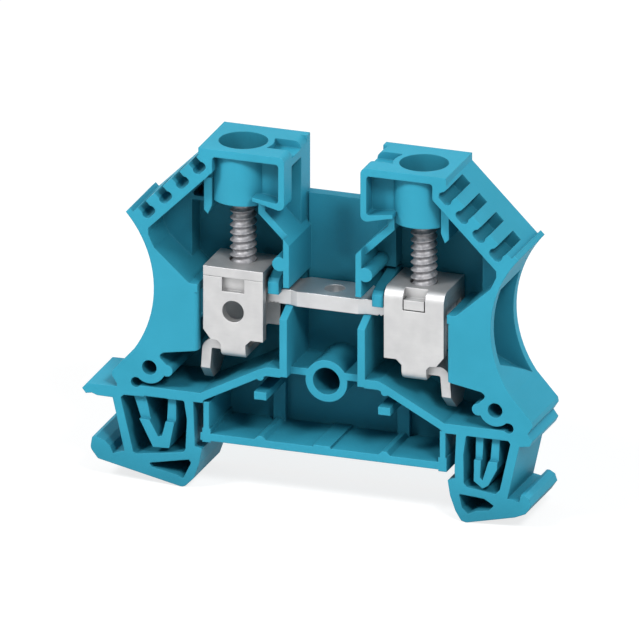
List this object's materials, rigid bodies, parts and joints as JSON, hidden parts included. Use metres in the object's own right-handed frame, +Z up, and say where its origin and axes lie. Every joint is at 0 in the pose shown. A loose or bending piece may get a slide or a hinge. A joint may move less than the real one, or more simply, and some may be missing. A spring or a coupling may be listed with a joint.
{
  "type": "neutral terminal block",
  "caption": "Blue rail-mounted screw terminal for the neutral conductor, open at one side, with spring feet, clamping yokes, screws and a current bar.",
  "frame": {"origin": "middle of the rail seat, the underside of the floor plate, at half depth", "axes": "+X along the block from one foot to the other, +Y from the open front to the flat back, +Z up away from the rail"},
  "size_m": [0.0604, 0.0098, 0.0461],
  "materials": {
    "housing": "satin moulded polyamide",
    "bar": "tin-plated copper alloy",
    "yoke": "zinc-plated sheet",
    "screw": "zinc-plated"
  },
  "bodies": {
    "housing": {"housing": "housing", "current_bar": "bar"},
    "left_yoke": {"left_yoke": "yoke"},
    "right_yoke": {"right_yoke": "yoke"},
    "left_screw": {"left_screw": "screw"},
    "right_screw": {"right_screw": "screw"}
  },
  "joints": [
    {"name": "left_clamp_slide", "type": "slide", "parent": "housing", "child": "left_yoke", "axis": [0, 0, 1], "range_m": [0, 0.0048]},
    {"name": "left_screw_turn", "type": "hinge", "parent": "housing", "child": "left_screw", "pos_m": [-0.0124, -0.00055, 0.0335], "axis": [0, 0, -1], "range_deg": [0, 1728]},
    {"name": "right_clamp_slide", "type": "slide", "parent": "housing", "child": "right_yoke", "axis": [0, 0, 1], "range_m": [0, 0.0048]},
    {"name": "right_screw_turn", "type": "hinge", "parent": "housing", "child": "right_screw", "pos_m": [0.0118, -0.00055, 0.0335], "axis": [0, 0, -1], "range_deg": [0, 1728]}
  ],
  "couplings": [
    {"joint": "left_screw_turn", "follows": "left_clamp_slide", "rad_per_m": 6283.2},
    {"joint": "right_screw_turn", "follows": "right_clamp_slide", "rad_per_m": 6283.2}
  ]
}
